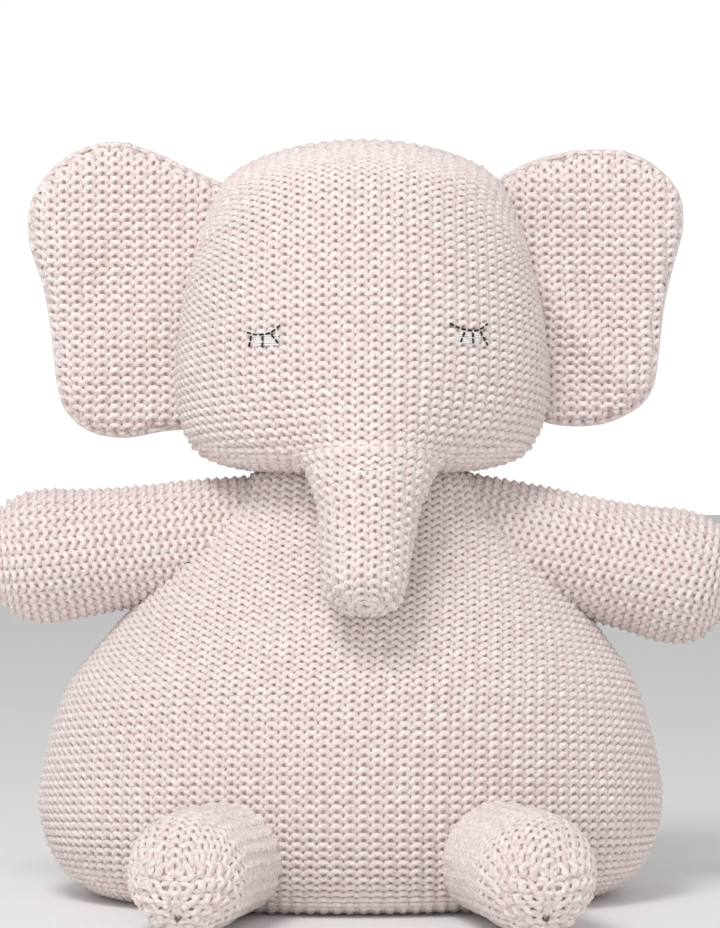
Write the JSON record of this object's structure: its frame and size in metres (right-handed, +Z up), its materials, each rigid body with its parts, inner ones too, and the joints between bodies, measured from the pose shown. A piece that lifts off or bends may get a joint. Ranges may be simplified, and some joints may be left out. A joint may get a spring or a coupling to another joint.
{
  "type": "stuffed elephant",
  "caption": "Sitting knitted elephant plush toy with padded ears, embroidered closed eyes, a short hanging trunk and stuffed arms, legs and tail.",
  "frame": {"origin": "centre of the flat patch underneath that the toy sits on", "axes": "+X to the right as seen by someone facing the toy, -Y the way its face looks, +Z up"},
  "size_m": [0.2528, 0.2474, 0.264],
  "materials": {
    "pink_knit": "matt knitted cotton",
    "fibre_filling": "loose polyester fibre",
    "charcoal_thread": "embroidery thread"
  },
  "bodies": {
    "body": {"body_front_panel": "pink_knit", "body_back_panel": "pink_knit", "body_base_panel": "pink_knit", "body_filling": "fibre_filling"},
    "head": {"head_front_panel": "pink_knit", "head_back_panel": "pink_knit", "head_filling": "fibre_filling", "eye_left_stitching": "charcoal_thread", "eye_right_stitching": "charcoal_thread"},
    "trunk": {"trunk_cover": "pink_knit", "trunk_filling": "fibre_filling"},
    "tail": {"tail_cover": "pink_knit"},
    "ear_left": {"ear_left_front_panel": "pink_knit", "ear_left_back_panel": "pink_knit", "ear_left_padding": "fibre_filling"},
    "arm_left": {"arm_left_cover": "pink_knit", "arm_left_filling": "fibre_filling"},
    "leg_left": {"leg_left_cover": "pink_knit", "leg_left_filling": "fibre_filling"},
    "ear_right": {"ear_right_front_panel": "pink_knit", "ear_right_back_panel": "pink_knit", "ear_right_padding": "fibre_filling"},
    "arm_right": {"arm_right_cover": "pink_knit", "arm_right_filling": "fibre_filling"},
    "leg_right": {"leg_right_cover": "pink_knit", "leg_right_filling": "fibre_filling"}
  },
  "joints": [
    {"name": "head_turn", "type": "hinge", "parent": "body", "child": "head", "pos_m": [0, 0, 0.149], "axis": [0, 0, 1], "range_deg": [-25, 25], "stiffness_Nm_per_rad": 0.25},
    {"name": "trunk_lift", "type": "hinge", "parent": "head", "child": "trunk", "pos_m": [0, -0.048, 0.16], "axis": [-1, 0, 0], "range_deg": [0, 60], "stiffness_Nm_per_rad": 0.1},
    {"name": "tail_lift", "type": "hinge", "parent": "body", "child": "tail", "pos_m": [0, 0.0845, 0.044], "axis": [1, 0, 0], "range_deg": [0, 50], "stiffness_Nm_per_rad": 0.02},
    {"name": "ear_left_fold", "type": "hinge", "parent": "head", "child": "ear_left", "pos_m": [-0.063, 0.008, 0.168], "axis": [0.1396, 0, 0.9902], "range_deg": [-25, 25], "stiffness_Nm_per_rad": 0.1},
    {"name": "arm_left_swing", "type": "hinge", "parent": "body", "child": "arm_left", "pos_m": [-0.058, 0, 0.122], "axis": [0.6112, 0, 0.7915], "range_deg": [-25, 28], "stiffness_Nm_per_rad": 0.12},
    {"name": "leg_left_lift", "type": "hinge", "parent": "body", "child": "leg_left", "pos_m": [-0.045, -0.073, 0.0205], "axis": [-0.9703, 0.2419, 0], "range_deg": [-10, 28], "stiffness_Nm_per_rad": 0.15},
    {"name": "ear_right_fold", "type": "hinge", "parent": "head", "child": "ear_right", "pos_m": [0.063, 0.008, 0.168], "axis": [0.1396, 0, -0.9902], "range_deg": [-25, 25], "stiffness_Nm_per_rad": 0.1},
    {"name": "arm_right_swing", "type": "hinge", "parent": "body", "child": "arm_right", "pos_m": [0.058, 0, 0.122], "axis": [0.6112, 0, -0.7915], "range_deg": [-25, 28], "stiffness_Nm_per_rad": 0.12},
    {"name": "leg_right_lift", "type": "hinge", "parent": "body", "child": "leg_right", "pos_m": [0.045, -0.073, 0.0205], "axis": [-0.9703, -0.2419, 0], "range_deg": [-10, 28], "stiffness_Nm_per_rad": 0.15}
  ]
}
